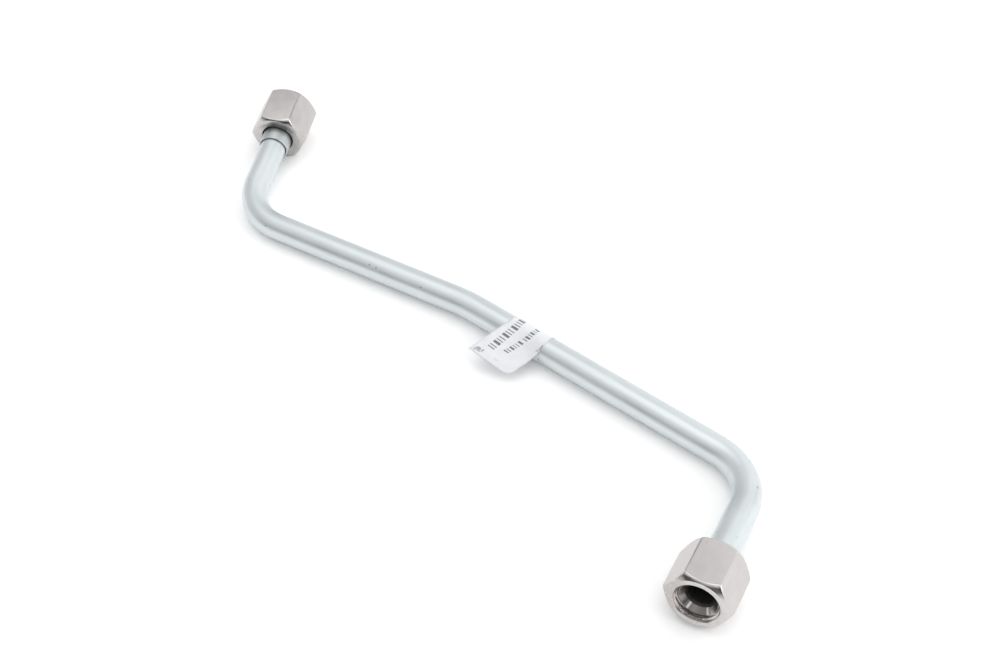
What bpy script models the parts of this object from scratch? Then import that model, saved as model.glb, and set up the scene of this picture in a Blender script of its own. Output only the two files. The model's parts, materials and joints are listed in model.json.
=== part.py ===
"""Bent steel drain tube, flared at both ends, with a loose sleeve and hexagon nut on each end
and a paper label wrapped round its long run. It lies on the floor as it comes to rest: the label
and the run touch the floor at z = 0, and each nut stands on the rear edge of its lowest flat."""

import math

import bmesh
import bpy
from mathutils import Matrix, Vector

MM = 0.001

# Tube: a 3/8 inch hydraulic tube
TUBE_OD = 9.525 * MM
TUBE_WALL = 0.71 * MM
BEND_RADIUS = 20.0 * MM
SHALLOW_RADIUS = 64.0 * MM
FAR_TURN = math.radians(72.8)
SHALLOW_TURN = math.radians(9.5)
NEAR_TURN = math.radians(77.2)

# Lengths along the centre line, from corner to corner, and from a corner to the flare's rim
FAR_RUN = 94.6 * MM
NEAR_RUN = 118.7 * MM
FAR_LEG = 50.4 * MM
NEAR_LEG = 55.6 * MM

# Flare: a 37 degree cone, as on a tube for a cone-nosed fitting
FLARE_ANGLE = math.radians(37.0)
FLARE_RADIUS = 6.14 * MM
LIP_WIDTH = 0.7 * MM
LIP_ROUND = 0.15 * MM
THROAT_RADIUS = 1.2 * MM

# Running gaps between the tube, the sleeve and the nut
SEAT_GAP = 0.3 * MM
SLEEVE_GAP = 0.25 * MM
NUT_GAP = 0.35 * MM
HEAD_GAP = 0.25 * MM

# Sleeve
SLEEVE_LENGTH = 14.6 * MM
HEAD_LENGTH = 3.6 * MM
TAIL_WALL = 0.5 * MM
HEAD_LAND = 0.35 * MM
TAIL_CHAMFER = 0.15 * MM

# Nut: 19 mm across flats
ACROSS_FLATS = 19.0 * MM
NUT_LENGTH = 17.8 * MM
THREAD_BORE = 6.45 * MM
THREAD_DEPTH = 12.2 * MM
MOUTH_RADIUS = 7.3 * MM
REAR_CHAMFER = 0.55 * MM
FACE_RADIUS = 8.75 * MM
CHAMFER_ANGLE = math.radians(39.0)

# How far each nut stands back from where its shoulder meets the sleeve
FAR_NUT_BACK = 0.0 * MM
NEAR_NUT_BACK = 4.94 * MM

# Label: a strip wound round the tube, whose free end stands off as a flag. The flag leaves the tube
# early along its left edge and late along its right edge, so it is twisted.
LABEL_WIDTH = 15.9 * MM
LABEL_THICK = 0.15 * MM
LABEL_GAP = 0.2 * MM
LABEL_PLACE = 19.4 * MM
LEFT_PEEL = math.radians(6.0)
RIGHT_PEEL = math.radians(40.0)
LEFT_FALL = math.radians(10.0)
RIGHT_FALL = math.radians(11.0)
RELAX_START = 1.5 * MM
RELAX_END = 8.5 * MM
LEFT_FLAG = 17.0 * MM
RIGHT_FLAG = 14.3 * MM
LEFT_SKEW = 0.24
RIGHT_SKEW = 0.3
FLAG_CORNER = 2.0 * MM
WRAP_END = math.radians(68.0)

# Facets
TUBE_SIDES = 32
LATHE_SIDES = 48
BEND_STEP = math.radians(6.5)
THROAT_STEPS = 3
WRAP_STEPS = 32
FLAG_STEPS = 10
LABEL_COLUMNS = (0.0, 0.2, 0.4, 0.6, 0.76, 0.88, 0.94, 0.975, 1.0)

# Worked out from the sizes above
TUBE_RADIUS = TUBE_OD / 2
BORE_RADIUS = TUBE_RADIUS - TUBE_WALL
SLEEVE_BORE = TUBE_RADIUS + SLEEVE_GAP
TAIL_RADIUS = SLEEVE_BORE + TAIL_WALL
HEAD_RADIUS = THREAD_BORE - HEAD_GAP
REAR_BORE = TAIL_RADIUS + NUT_GAP
RUN_HEIGHT = TUBE_RADIUS + LABEL_GAP + LABEL_THICK
SLOPE = math.tan(FLARE_ANGLE)
SLEEVE_FRONT = LIP_WIDTH + (FLARE_RADIUS + SEAT_GAP / math.cos(FLARE_ANGLE) - HEAD_RADIUS + HEAD_LAND) / SLOPE
SLEEVE_SHOULDER = SLEEVE_FRONT + HEAD_LENGTH
NUT_SHOULDER = SLEEVE_SHOULDER + HEAD_RADIUS + SEAT_GAP * math.sqrt(2) - THREAD_BORE
NUT_FRONT = NUT_SHOULDER - THREAD_DEPTH
NUT_REAR = NUT_FRONT + NUT_LENGTH


def clear_scene():
    for obj in list(bpy.data.objects):
        bpy.data.objects.remove(obj, do_unlink=True)


def material(name, colour, metallic, roughness):
    """A Principled BSDF material of one colour."""
    made = bpy.data.materials.new(name)
    made.use_nodes = True
    shader = made.node_tree.nodes["Principled BSDF"]
    shader.inputs["Base Color"].default_value = (*colour, 1.0)
    shader.inputs["Metallic"].default_value = metallic
    shader.inputs["Roughness"].default_value = roughness
    made.diffuse_color = (*colour, 1.0)
    return made


def add_object(name, mesh, made_material=None):
    obj = bpy.data.objects.new(name, mesh)
    bpy.context.scene.collection.objects.link(obj)
    if made_material:
        mesh.materials.clear()
        mesh.materials.append(made_material)
    return obj


def mesh_from(bm, name, smooth=True):
    """Turns the bmesh into a mesh with outward faces, smooth except at its edges."""
    bmesh.ops.recalc_face_normals(bm, faces=bm.faces[:])
    mesh = bpy.data.meshes.new(name)
    bm.to_mesh(mesh)
    bm.free()
    if smooth:
        mesh.shade_smooth()
        mesh.set_sharp_from_angle(angle=math.radians(30))
    return mesh


def heading(angle, rise=0.0):
    """The direction that points this way round from +X, and up by rise."""
    return Vector((math.cos(angle) * math.cos(rise), math.sin(angle) * math.cos(rise), math.sin(rise)))


def leg_rise(leg, nut_back):
    """The rise of a leg that sets the rear edge of its nut's lowest flat on the floor."""
    along = leg - NUT_REAR - nut_back
    flat = ACROSS_FLATS / 2
    return math.acos(RUN_HEIGHT / math.hypot(along, flat)) - math.atan2(along, flat)


def centre_line():
    """The corners of the tube's centre line, from the far flare's rim to the near flare's rim.

    The two legs point away from +Y and -Y by the same angle, and the shallow bend is at x = y = 0."""
    far_way = (FAR_TURN + SHALLOW_TURN + NEAR_TURN - math.pi) / 2
    near_way = far_way - SHALLOW_TURN
    shallow = Vector((0, 0, RUN_HEIGHT))
    far_corner = shallow - heading(far_way) * FAR_RUN
    near_corner = shallow + heading(near_way) * NEAR_RUN
    far_leg = heading(far_way + math.pi - FAR_TURN, leg_rise(FAR_LEG, FAR_NUT_BACK))
    near_leg = heading(near_way - NEAR_TURN, leg_rise(NEAR_LEG, NEAR_NUT_BACK))
    return [
        far_corner + far_leg * FAR_LEG,
        far_corner,
        shallow,
        near_corner,
        near_corner + near_leg * NEAR_LEG,
    ]


def bend_at(before, corner, after, radius):
    """The start, centre, axis and angle of the bend that rounds off this corner."""
    way_in = (corner - before).normalized()
    way_out = (after - corner).normalized()
    angle = way_in.angle(way_out)
    start = corner - way_in * radius * math.tan(angle / 2)
    axis = way_in.cross(way_out).normalized()
    centre = start + axis.cross(way_in) * radius
    end = corner + way_out * radius * math.tan(angle / 2)
    return start, centre, axis, angle, end


def flare_steps(inner):
    """The flare's profile as steps (distance from the rim, radius), from the tube's end outwards."""
    if not inner:
        base = LIP_WIDTH + (FLARE_RADIUS - TUBE_RADIUS) / SLOPE
        return [(base, TUBE_RADIUS), (LIP_WIDTH, FLARE_RADIUS), (LIP_ROUND, FLARE_RADIUS)]
    rim = FLARE_RADIUS - LIP_ROUND
    corner = (rim - BORE_RADIUS) / SLOPE
    tangent = THROAT_RADIUS * math.tan(FLARE_ANGLE / 2)
    steps = []
    for step in range(THROAT_STEPS + 1):
        turn = FLARE_ANGLE * step / THROAT_STEPS
        back = corner + tangent - THROAT_RADIUS * math.sin(turn)
        steps.append((back, BORE_RADIUS + THROAT_RADIUS * (1 - math.cos(turn))))
    steps.append((0.0, rim))
    return steps


def ring_edges(bm, centre, direction, radius):
    """A circle of edges round this direction."""
    turn = Vector((0, 0, 1)).rotation_difference(direction).to_matrix().to_4x4()
    made = bmesh.ops.create_circle(
        bm, segments=TUBE_SIDES, radius=radius, matrix=Matrix.Translation(centre) @ turn
    )
    verts = set(made["verts"])
    return [edge for edge in bm.edges if edge.verts[0] in verts and edge.verts[1] in verts]


def pull(bm, edges, centre, target, scale=1.0):
    """Extrudes a ring of edges whose middle is at centre to target, and scales it there."""
    made = bmesh.ops.extrude_edge_only(bm, edges=edges)["geom"]
    verts = [item for item in made if isinstance(item, bmesh.types.BMVert)]
    for vert in verts:
        vert.co = target + (vert.co - centre) * scale
    return [item for item in made if isinstance(item, bmesh.types.BMEdge) and item.is_boundary]


def swing(bm, edges, centre, axis, angle):
    """Carries a ring of edges round a bend, as a tube bender does."""
    steps = max(2, math.ceil(angle / BEND_STEP))
    made = bmesh.ops.spin(bm, geom=edges, cent=centre, axis=axis, angle=angle, steps=steps)
    return [item for item in made["geom_last"] if isinstance(item, bmesh.types.BMEdge)]


def flare_end(bm, edges, rim, outward, steps):
    """Opens out a ring of edges along the flare's profile, and gives back its last ring."""
    place = rim - outward * steps[0][0]
    radius = steps[0][1]
    for back, wider in steps[1:]:
        target = rim - outward * back
        edges = pull(bm, edges, place, target, wider / radius)
        place, radius = target, wider
    return edges


def tube_skin(bm, points, inner):
    """One skin of the tube, outside or inside, and the ring of edges at each of its two ends."""
    steps = flare_steps(inner)
    back, radius = steps[0]
    far_out = (points[0] - points[1]).normalized()
    near_out = (points[-1] - points[-2]).normalized()
    place = points[0] - far_out * back
    first = ring_edges(bm, place, far_out, radius)
    edges = first
    for index, bend_radius in ((1, BEND_RADIUS), (2, SHALLOW_RADIUS), (3, BEND_RADIUS)):
        start, centre, axis, angle, end = bend_at(*points[index - 1 : index + 2], bend_radius)
        edges = pull(bm, edges, place, start)
        edges = swing(bm, edges, centre, axis, angle)
        place = end
    last = points[-1] - near_out * back
    edges = pull(bm, edges, place, last)
    return (
        flare_end(bm, first, points[0], far_out, steps),
        flare_end(bm, edges, points[-1], near_out, steps),
    )


def make_tube(points, made_material):
    bm = bmesh.new()
    far_outer, near_outer = tube_skin(bm, points, inner=False)
    far_inner, near_inner = tube_skin(bm, points, inner=True)
    bmesh.ops.bridge_loops(bm, edges=far_outer + far_inner)
    bmesh.ops.bridge_loops(bm, edges=near_outer + near_inner)
    return add_object("tube", mesh_from(bm, "tube"), made_material)


def turned(name, profile):
    """A mesh turned round the local Z axis from a closed profile of (z, radius) points."""
    bm = bmesh.new()
    verts = [bm.verts.new((radius, 0, z)) for z, radius in profile]
    edges = [bm.edges.new((verts[i - 1], verts[i])) for i in range(len(verts))]
    bmesh.ops.spin(
        bm, geom=edges, cent=(0, 0, 0), axis=(0, 0, 1), angle=math.tau, steps=LATHE_SIDES, use_merge=True
    )
    return mesh_from(bm, name)


def turned_solid(name, profile):
    """A mesh turned round the local Z axis from an open (z, radius) profile, with a flat face at each end."""
    bm = bmesh.new()
    verts = [bm.verts.new((radius, 0, z)) for z, radius in profile]
    edges = [bm.edges.new(pair) for pair in zip(verts, verts[1:])]
    bmesh.ops.spin(
        bm, geom=edges, cent=(0, 0, 0), axis=(0, 0, 1), angle=math.tau, steps=LATHE_SIDES, use_merge=True
    )
    bmesh.ops.holes_fill(bm, edges=[edge for edge in bm.edges if edge.is_boundary])
    return mesh_from(bm, name)


def sleeve_mesh():
    """The sleeve, with its front towards local +Z and the flare's rim at local z = 0."""
    mouth = HEAD_RADIUS - HEAD_LAND
    cone = (mouth - SLEEVE_BORE) / SLOPE
    tail_end = SLEEVE_FRONT + SLEEVE_LENGTH
    profile = [
        (-SLEEVE_FRONT, mouth),
        (-SLEEVE_FRONT, HEAD_RADIUS),
        (-SLEEVE_SHOULDER, HEAD_RADIUS),
        (-SLEEVE_SHOULDER - HEAD_RADIUS + TAIL_RADIUS, TAIL_RADIUS),
        (-tail_end + TAIL_CHAMFER, TAIL_RADIUS),
        (-tail_end, TAIL_RADIUS - TAIL_CHAMFER),
        (-tail_end, SLEEVE_BORE),
        (-SLEEVE_FRONT - cone, SLEEVE_BORE),
    ]
    return turned("sleeve", profile)


def cutter(name, mesh, target, operation):
    """A helper that a Boolean modifier takes from the target, or keeps of it."""
    tool = add_object(name, mesh)
    tool.hide_render = True
    tool.display_type = "WIRE"
    change = target.modifiers.new(name, "BOOLEAN")
    change.operation = operation
    change.solver = "EXACT"
    change.object = tool
    return tool


def nut_mesh():
    """The hexagon nut, with its mouth's face at local z = 0 and its rear at -NUT_LENGTH."""
    over = 1.0 * MM
    corner = ACROSS_FLATS / math.sqrt(3)
    bm = bmesh.new()
    bmesh.ops.create_cone(
        bm, cap_ends=True, segments=6, radius1=corner, radius2=corner, depth=NUT_LENGTH
    )
    bmesh.ops.translate(bm, verts=bm.verts[:], vec=(0, 0, -NUT_LENGTH / 2))
    blank = add_object("nut_blank", mesh_from(bm, "nut_blank", smooth=False))

    reach = corner + over
    fall = (reach - FACE_RADIUS) * math.tan(CHAMFER_ANGLE)
    outside = [
        (0, FACE_RADIUS),
        (-fall, reach),
        (-NUT_LENGTH + fall, reach),
        (-NUT_LENGTH, FACE_RADIUS),
    ]
    mouth_depth = MOUTH_RADIUS - THREAD_BORE
    shoulder_end = THREAD_DEPTH + THREAD_BORE - REAR_BORE
    inside = [
        (over, MOUTH_RADIUS + over),
        (-mouth_depth, THREAD_BORE),
        (-THREAD_DEPTH, THREAD_BORE),
        (-shoulder_end, REAR_BORE),
        (-NUT_LENGTH + REAR_CHAMFER, REAR_BORE),
        (-NUT_LENGTH - over, REAR_BORE + REAR_CHAMFER + over),
    ]
    tools = [
        cutter("nut_chamfer", turned_solid("nut_chamfer", outside), blank, "INTERSECT"),
        cutter("nut_bore", turned_solid("nut_bore", inside), blank, "DIFFERENCE"),
    ]
    bpy.context.view_layer.update()
    graph = bpy.context.evaluated_depsgraph_get()
    mesh = bpy.data.meshes.new_from_object(blank.evaluated_get(graph))
    mesh.name = "nut"
    mesh.shade_smooth()
    mesh.set_sharp_from_angle(angle=math.radians(30))
    for helper in [blank, *tools]:
        bpy.data.objects.remove(helper, do_unlink=True)
    return mesh


def leg_frame(rim, corner):
    """The place of a leg's end: local z runs out along the leg, and local -Y points down at the floor."""
    out = (rim - corner).normalized()
    side = out.cross(Vector((0, 0, 1))).normalized()
    up = side.cross(out).normalized()
    turn = Matrix((side, up, out)).transposed().to_4x4()
    return Matrix.Translation(rim) @ turn


def dress_end(name, rim, corner, nut_back, sleeve, nut, zinc, nickel):
    """Sets a sleeve against the flare and a nut over it, each on the leg's axis."""
    frame = leg_frame(rim, corner)
    sleeve_object = add_object(name + "_sleeve", sleeve, zinc)
    sleeve_object.matrix_world = frame
    nut_object = add_object(name + "_nut", nut, nickel)
    flat_down = Matrix.Rotation(math.radians(30), 4, "Z")
    nut_object.matrix_world = frame @ Matrix.Translation((0, 0, -NUT_FRONT - nut_back)) @ flat_down
    return sleeve_object, nut_object


def between(left, right, share):
    return left + (right - left) * share


def label_line(share):
    """The strip's middle line at this share of its width, as (along the tube, side, height) points.

    It runs from the flag's tip to where it leaves the tube, and on over the top and round the tube."""
    radius = TUBE_RADIUS + LABEL_GAP + LABEL_THICK / 2
    peel = between(LEFT_PEEL, RIGHT_PEEL, share)
    fall = between(LEFT_FALL, RIGHT_FALL, share)
    skew = between(LEFT_SKEW, RIGHT_SKEW, share)
    along = LABEL_WIDTH * share
    length = between(LEFT_FLAG, RIGHT_FLAG, share)
    into_corner = min(FLAG_CORNER, max(0.0, along + FLAG_CORNER - LABEL_WIDTH))
    length -= FLAG_CORNER - math.sqrt(FLAG_CORNER**2 - into_corner**2)

    side, height = -math.sin(peel) * radius, math.cos(peel) * radius
    flag = []
    pieces = 10
    for step in range(1, FLAG_STEPS * pieces + 1):
        reach = length * (step - 0.5) / (FLAG_STEPS * pieces)
        relaxed = min(1.0, max(0.0, (reach - RELAX_START) / (RELAX_END - RELAX_START)))
        slope = between(peel, fall, relaxed * relaxed * (3 - 2 * relaxed))
        side -= math.cos(slope) * length / (FLAG_STEPS * pieces)
        height -= math.sin(slope) * length / (FLAG_STEPS * pieces)
        if step % pieces == 0:
            flag.append((along - skew * length * step / (FLAG_STEPS * pieces), side, height))

    wrap = []
    sweep = math.tau - WRAP_END + peel
    for step in range(WRAP_STEPS + 1):
        turn = -peel + sweep * step / WRAP_STEPS
        wrap.append((along, math.sin(turn) * radius, math.cos(turn) * radius))
    return flag[::-1] + wrap


def make_label(shallow, near_corner, made_material):
    """The strip, laid column by column across its width and given its thickness by a modifier."""
    bm = bmesh.new()
    columns = [[bm.verts.new(point) for point in label_line(share)] for share in LABEL_COLUMNS]
    for left, right in zip(columns, columns[1:]):
        for step in range(len(left) - 1):
            bm.faces.new((left[step], right[step], right[step + 1], left[step + 1]))
    label = add_object("label", mesh_from(bm, "label"), made_material)
    way = (near_corner - shallow).normalized()
    side = Vector((0, 0, 1)).cross(way)
    turn = Matrix((way, side, Vector((0, 0, 1)))).transposed().to_4x4()
    label.matrix_world = Matrix.Translation(shallow + way * LABEL_PLACE) @ turn
    thickness = label.modifiers.new("Solidify", "SOLIDIFY")
    thickness.thickness = LABEL_THICK
    thickness.offset = 0.0
    return label


def centre_on_footprint(objects):
    """Moves the whole part so that the origin is on the floor under the middle of its box."""
    bpy.context.view_layer.update()
    graph = bpy.context.evaluated_depsgraph_get()
    corners = []
    for obj in objects:
        evaluated = obj.evaluated_get(graph)
        mesh = evaluated.to_mesh()
        corners += [evaluated.matrix_world @ vert.co for vert in mesh.vertices]
        evaluated.to_mesh_clear()
    middle = [(min(p[k] for p in corners) + max(p[k] for p in corners)) / 2 for k in (0, 1)]
    shift = Matrix.Translation((-middle[0], -middle[1], 0))
    for obj in objects:
        obj.matrix_world = shift @ obj.matrix_world


def main():
    clear_scene()
    zinc = material("zinc_plate", (0.78, 0.82, 0.84), 1.0, 0.38)
    sleeve_zinc = material("sleeve_zinc", (0.74, 0.78, 0.80), 1.0, 0.3)
    nickel = material("nickel_plate", (0.73, 0.70, 0.69), 1.0, 0.25)
    paper = material("label_paper", (0.92, 0.93, 0.95), 0.0, 0.45)
    points = centre_line()
    objects = [make_tube(points, zinc)]
    sleeve = sleeve_mesh()
    nut = nut_mesh()
    objects += dress_end("far", points[0], points[1], FAR_NUT_BACK, sleeve, nut, sleeve_zinc, nickel)
    objects += dress_end("near", points[-1], points[-2], NEAR_NUT_BACK, sleeve, nut, sleeve_zinc, nickel)
    objects.append(make_label(points[2], points[3], paper))
    centre_on_footprint(objects)


main()
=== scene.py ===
"""The looks of a bent steel drain tube with a sleeve and a hexagon nut at each end and a paper label.

Lengths are in metres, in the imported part's own frame: +Z up, the floor at z = 0, +X along the two
long runs, +Y towards the far end."""

import json
import math

import bmesh
import bpy
from mathutils import Matrix, Vector

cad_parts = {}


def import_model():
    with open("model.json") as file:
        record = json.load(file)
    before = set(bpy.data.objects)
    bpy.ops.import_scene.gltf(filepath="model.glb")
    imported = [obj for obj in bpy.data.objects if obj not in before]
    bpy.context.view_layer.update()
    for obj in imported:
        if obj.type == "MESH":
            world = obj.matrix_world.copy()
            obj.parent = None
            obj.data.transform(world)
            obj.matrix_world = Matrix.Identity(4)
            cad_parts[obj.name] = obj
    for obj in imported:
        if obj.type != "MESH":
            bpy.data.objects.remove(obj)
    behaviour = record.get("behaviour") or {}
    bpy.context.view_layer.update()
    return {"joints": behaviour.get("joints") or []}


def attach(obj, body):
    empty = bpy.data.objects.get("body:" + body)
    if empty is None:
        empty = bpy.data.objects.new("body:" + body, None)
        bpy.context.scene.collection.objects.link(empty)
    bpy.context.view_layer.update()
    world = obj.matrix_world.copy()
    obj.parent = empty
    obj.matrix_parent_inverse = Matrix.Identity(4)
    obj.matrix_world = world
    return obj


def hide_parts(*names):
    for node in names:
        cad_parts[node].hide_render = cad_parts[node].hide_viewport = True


MM = 0.001

# Tube
TUBE_RADIUS = 4.7625 * MM
BORE_RADIUS = 4.0525 * MM
BEND_RADIUS = 20.0 * MM
SHALLOW_RADIUS = 64.0 * MM
FAR_LEG = 50.4 * MM
NEAR_LEG = 55.6 * MM
FAR_RUN = 94.6 * MM
NEAR_RUN = 118.7 * MM
FLARE_ANGLE = math.radians(37)
FLARE_RADIUS = 6.14 * MM
LIP_WIDTH = 0.7 * MM
LIP_ROUND = 0.15 * MM
LIP_BACK_ROUND = 0.2 * MM
SEAT_EDGE_ROUND = 0.08 * MM
THROAT_ROUND = 1.2 * MM
SEAT_END = 4.7 * MM
FLARE_BACK_ROUND = 1.4 * MM
PLAIN_PART = 2.0 * MM
OUTER_FLATTENING = 0.035
INNER_FLATTENING = 0.01
SIDE_BULGE = 0.008
BEND_EASE = 0.6

# Sleeve, along the leg from the flare's rim
SLEEVE_FRONT = 1.583 * MM
SLEEVE_SHOULDER = 5.183 * MM
SLEEVE_TAIL = 16.183 * MM
SLEEVE_BORE = 5.0125 * MM
TAIL_RADIUS = 5.5125 * MM
HEAD_RADIUS = 6.2 * MM
HEAD_LAND = 0.35 * MM
HEAD_ROUND = 0.12 * MM
SHOULDER_ROUND = 0.15 * MM
NECK_ROUND = 0.3 * MM
TAIL_ROUND = 0.2 * MM
TAIL_BORE_ROUND = 0.1 * MM
CONE_ROUND = 0.3 * MM
CONE_INSET = (0.02 * MM, 0.015 * MM)

# Nut, along the leg from its mouth
NUT_LENGTH = 17.8 * MM
APOTHEM = 9.5 * MM
FACE_RADIUS = 8.75 * MM
FACE_ROUND = 0.5 * MM
CHAMFER_ANGLE = math.radians(35)
CORNER_ROUND = 0.3 * MM
EDGE_ROUND = 0.22 * MM
CORNER_WEAR = 1.1
TURNED_ROUND = 0.1 * MM
MOUTH_RADIUS = 7.3 * MM
MOUTH_BEVEL = 0.16 * MM
MINOR_RADIUS = 6.45 * MM
MAJOR_RADIUS = 7.12 * MM
PITCH = 25.4 / 18 * MM
THREAD_END = 12.2 * MM
THREAD_RELIEF = 0.6 * MM
THREAD_FADE = 0.8 * PITCH
REAR_BORE = 5.8625 * MM
REAR_CHAMFER = 0.3 * MM
REAR_FACE_RADIUS = 8.95 * MM
RIM_BELOW_FAR_MOUTH = 6.842 * MM
RIM_BELOW_NEAR_MOUTH = 1.902 * MM

# Label: the same strip as the solid's, drawn finer and thinner
LABEL_WIDTH = 15.9 * MM
LABEL_THICK = 0.1 * MM
LABEL_GAP = 0.04 * MM
LABEL_MIDDLE = TUBE_RADIUS + LABEL_GAP + LABEL_THICK / 2
LABEL_PLACE = 19.4 * MM
LEFT_PEEL = math.radians(6)
RIGHT_PEEL = math.radians(40)
LEFT_FALL = math.radians(10)
RIGHT_FALL = math.radians(11)
RELAX_START = 1.5 * MM
RELAX_END = 8.5 * MM
LEFT_FLAG = 17.0 * MM
RIGHT_FLAG = 14.3 * MM
LEFT_SKEW = 0.24
RIGHT_SKEW = 0.3
FLAG_CORNER = 2.0 * MM
WRAP_END = math.radians(68)
LABEL_COLUMNS = 30
FLAG_ROWS = 26
FLAG_SUBSTEPS = 5
WRAP_ROWS = 72

# Facets, and the limits for rounding, welding and creasing them
TUBE_SIDES = 96
LATHE_SIDES = 120
FLAT_COLUMNS = 20
CORNER_COLUMNS = 4
BEND_STEP = math.radians(2.5)
STRAIGHT_STEP = 4.0 * MM
LONGEST_ARC_SIDE = 0.49
END_CLEARANCE = 1.05
WELD_DISTANCE = 1e-7
TUBE_CREASE = 35
TURNED_CREASE = 40

# Marks on the tube: (angle round it, distance along it, half width, half length, depth)
NICKS = (
    (math.radians(58), 59.0 * MM, 0.3 * MM, 0.45 * MM, 0.5),
    (math.radians(43), 103.1 * MM, 0.28 * MM, 0.42 * MM, 0.65),
    (math.radians(51), 124.5 * MM, 0.25 * MM, 0.5 * MM, 0.6),
    # A broad, faint darker patch on the inside of the far bend
    (math.radians(-27), 58.7 * MM, 1.3 * MM, 2.6 * MM, 0.12),
    (math.radians(200), 151.0 * MM, 0.3 * MM, 1.1 * MM, 0.5),
    (math.radians(292), 236.0 * MM, 0.25 * MM, 0.7 * MM, 0.5),
)

# Marks on the turned ends and on the flats of the nuts: (place laid out, half size, depth)
NUT_MARKS = (
    ((7.81 * MM, 4.38 * MM, -0.17 * MM), 0.32 * MM, 0.7),
    ((7.1 * MM, 4.9 * MM, -0.1 * MM), 0.25 * MM, 0.5),
    ((8.88 * MM, -1.13 * MM, -0.18 * MM), 0.35 * MM, 0.65),
    ((3.44 * MM, 9.5 * MM, -14.84 * MM), 0.3 * MM, 0.45),
    ((-6.9 * MM, 7.0 * MM, -6.2 * MM), 0.22 * MM, 0.3),
    ((1.2 * MM, -9.5 * MM, -9.0 * MM), 0.3 * MM, 0.4),
)
MARK_COLOUR = (0.2, 0.19, 0.18)

# Print on the label: (middle across the strip, slant, height, first and last place along it, bars' ends)
PRINT_ROWS = (
    (3.49 * MM, -0.07, 2.6 * MM, -13.0 * MM, 5.4 * MM,
     (0.01, 0.035, 0.065, 0.085, 0.13, 0.185, 0.215, 0.235, 0.28, 0.30, 0.345, 0.4, 0.43, 0.45,
      0.49, 0.51, 0.56, 0.61, 0.645, 0.665, 0.71, 0.73, 0.77, 0.825, 0.86, 0.88, 0.92, 0.945)),
    (9.9 * MM, 0.12, 1.8 * MM, -11.2 * MM, 3.1 * MM,
     (0.01, 0.045, 0.08, 0.105, 0.15, 0.2, 0.235, 0.255, 0.3, 0.32, 0.37, 0.42,
      0.5, 0.52, 0.56, 0.61, 0.65, 0.67, 0.71, 0.76, 0.8, 0.82, 0.87, 0.92)),
)

# Smudges on the label, and three dark marks along its right edge where its layers meet: (across, along, half
# width, half length, depth)
SMUDGES = (
    (1.4 * MM, -16.3 * MM, 0.45 * MM, 0.8 * MM, 0.6),
    (2.2 * MM, -15.4 * MM, 0.85 * MM, 0.5 * MM, 0.9),
    (2.8 * MM, -16.2 * MM, 1.0 * MM, 0.35 * MM, 0.7),
    (3.6 * MM, -15.3 * MM, 0.45 * MM, 0.85 * MM, 0.85),
    (9.0 * MM, -15.3 * MM, 1.1 * MM, 0.4 * MM, 0.2),
    # Dark marks along the strip's right edge, where its layers meet
    (15.5 * MM, -3.4 * MM, 0.4 * MM, 1.4 * MM, 0.95),
    (15.1 * MM, -4.9 * MM, 0.4 * MM, 0.7 * MM, 0.5),
    (15.6 * MM, 22.4 * MM, 0.45 * MM, 0.9 * MM, 0.6),
)

# Light: a white room and four soft lights: (way to its middle, fully lit angle, outer angle, strength)
ROOM_LIGHT = 0.74
OVERHEAD = Vector((-0.1, 0.1, 0.99))
BEHIND = Vector((0.28, 0.84, 0.46))
HIGH_IN_FRONT = Vector((0.0, -0.5, 0.87))
RIGHT = Vector((0.9, 0.08, 0.4))
SOFT_LIGHTS = (
    (OVERHEAD, math.radians(8), math.radians(33), 1.0),
    (BEHIND, math.radians(8), math.radians(32), 0.55),
    (HIGH_IN_FRONT, math.radians(10), math.radians(40), 0.25),
    (RIGHT, math.radians(8), math.radians(32), 1.7),
)

# Floor: its colour where it lights the part, and where it is seen
FLOOR_SIZE = 9.0
FLOOR_LIT = (0.9, 0.9, 0.9)
FLOOR_SEEN = (1.16, 1.16, 1.16)

# Dark wall: an arc round the camera's side, which fades out between two heights
WALL_COLOUR = (0.09, 0.088, 0.09)
WALL_STEPS = 24
WALL_DISTANCE = 2.2
WALL_FOOT = 0.33
WALL_FADE = 0.9
WALL_HEIGHT = 1.15
WALL_SPREAD = 65

# Camera: the photograph's view
LENS = 52.71
SENSOR_WIDTH = 36.0
NEAR_CLIP = 0.01
PITCH_DOWN = math.radians(46.452)
YAW = math.radians(19.28)
CAMERA_PLACE = Vector((124.916, -320.733, 364.9)) * MM


def axis_of(frame, joint):
    """The point and the direction of a joint's axis, which runs out along its leg."""
    found = [j for j in frame["joints"] if j["name"] == joint][0]
    return Vector(found["pos_m"]), Vector(found["axis"]).normalized()


def centre_line(frame):
    """The corners of the tube's centre line, from the far flare's rim to the near flare's rim."""
    far_rim, far_out = axis_of(frame, "far_spin")
    near_rim, near_out = axis_of(frame, "near_spin")
    far_corner = far_rim - far_out * FAR_LEG
    near_corner = near_rim - near_out * NEAR_LEG
    across = near_corner - far_corner
    span = across.length
    along = (span * span + FAR_RUN * FAR_RUN - NEAR_RUN * NEAR_RUN) / (2 * span)
    off = math.sqrt(FAR_RUN * FAR_RUN - along * along)
    way = across.normalized()
    side = Vector((0, 0, 1)).cross(way)
    return [far_rim, far_corner, far_corner + way * along + side * off, near_corner, near_rim]


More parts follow.
